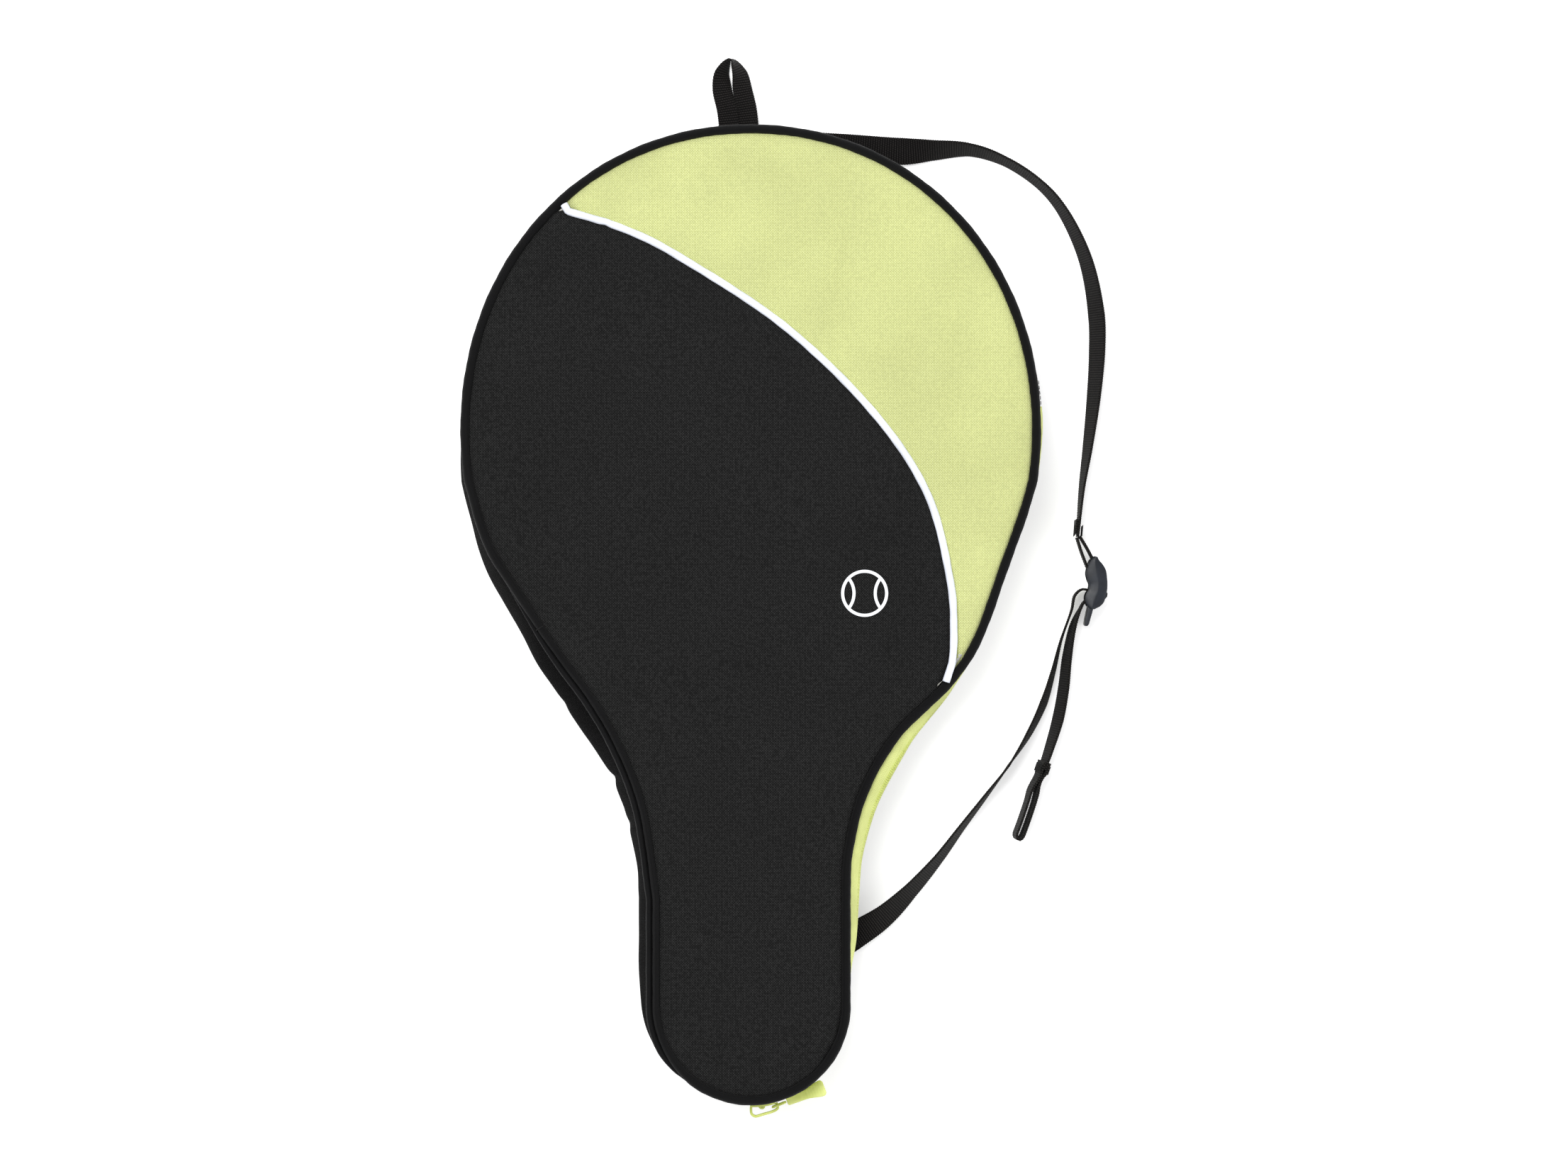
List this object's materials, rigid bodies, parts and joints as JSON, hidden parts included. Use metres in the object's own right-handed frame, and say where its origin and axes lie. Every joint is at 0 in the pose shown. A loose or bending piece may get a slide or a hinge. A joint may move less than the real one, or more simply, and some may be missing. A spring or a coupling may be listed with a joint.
{
  "type": "padded racket case",
  "caption": "Padded racket case with a round head and a narrow handle, a curved side zip, a two-colour front with raised seam piping, a hang loop and an adjustable shoulder strap.",
  "frame": {"origin": "on the floor under the middle of the case's footprint, measured over the case with its slider and puller, without the webbing", "axes": "the case lies on its back: +Z out of the front panel, +Y along its length from the handle to the hang loop, +X to the right, the zip's side"},
  "size_m": [0.3314, 0.5441, 0.053],
  "materials": {
    "black_fabric": "coarse plain-weave polyester, matt black",
    "lime_fabric": "coarse plain-weave polyester, pale lime",
    "seam_piping": "smooth white piping with a cord core",
    "edge_piping": "black twill tape with a herringbone rib",
    "foam": "soft closed-cell foam sheet, hidden inside the panels",
    "lining": "thin woven dark grey lining",
    "zip_tape": "lime zip tape with a herringbone weave and a nylon coil",
    "zip_metal": "lime painted die casting, satin",
    "puller_grip": "soft moulded lime rubber, matt",
    "print": "thin flat white print on the fabric",
    "webbing": "ribbed black polyester webbing, slightly brown",
    "ladder_lock": "moulded blue-grey acetal, satin"
  },
  "bodies": {
    "case": {"rear_panel": "black_fabric", "gusset_wall": "black_fabric", "gusset_zip_side": "black_fabric", "zip_end_tab": "black_fabric", "front_panel_black": "black_fabric", "front_panel_lime": "lime_fabric", "seam_piping": "seam_piping", "rear_edge_piping": "edge_piping", "front_edge_piping": "edge_piping", "rear_seam_binding": "edge_piping", "front_seam_binding": "edge_piping", "rear_foam": "foam", "front_foam": "foam", "rear_lining": "lining", "front_lining": "lining", "zip_tape_rear": "zip_tape", "zip_coil_rear": "zip_tape", "zip_stop_rear": "zip_metal", "zip_end_stop": "zip_metal", "ball_mark": "print", "hang_loop": "webbing", "strap_upper": "webbing", "strap_upper_loop": "webbing", "strap_lower": "webbing", "strap_tail": "webbing", "strap_tail_fold": "webbing"},
    "flap": {"flap_panel_black": "black_fabric", "flap_panel_lime": "lime_fabric", "flap_seam_piping": "seam_piping", "flap_edge_piping": "edge_piping", "flap_seam_binding": "edge_piping", "flap_foam": "foam", "flap_lining": "lining", "zip_tape_front": "zip_tape", "zip_coil_front": "zip_tape", "zip_stop_front": "zip_metal"},
    "slider": {"zip_slider": "zip_metal"},
    "puller": {"puller_link": "zip_metal", "puller_grip": "puller_grip"},
    "ladder_lock": {"ladder_lock": "ladder_lock", "strap_wrap": "webbing"}
  },
  "joints": [
    {"name": "flap_open", "type": "hinge", "parent": "case", "child": "flap", "pos_m": [-0.04093, -0.22593, 0.053], "axis": [-0.4891, -0.8722, 0], "range_deg": [0, 35]},
    {"name": "slider_travel", "type": "hinge", "parent": "case", "child": "slider", "pos_m": [0, -0.1955, 0.036], "axis": [0, 0, 1], "range_deg": [0, 60]},
    {"name": "puller_swing", "type": "hinge", "parent": "slider", "child": "puller", "pos_m": [0.0112, -0.24825, 0.036], "axis": [0, 0, -1], "range_deg": [0, 140]},
    {"name": "ladder_lock_tilt", "type": "hinge", "parent": "case", "child": "ladder_lock", "pos_m": [0.175, 0.029, 0.0105], "axis": [0, 0, 1], "range_deg": [0, 25]}
  ]
}
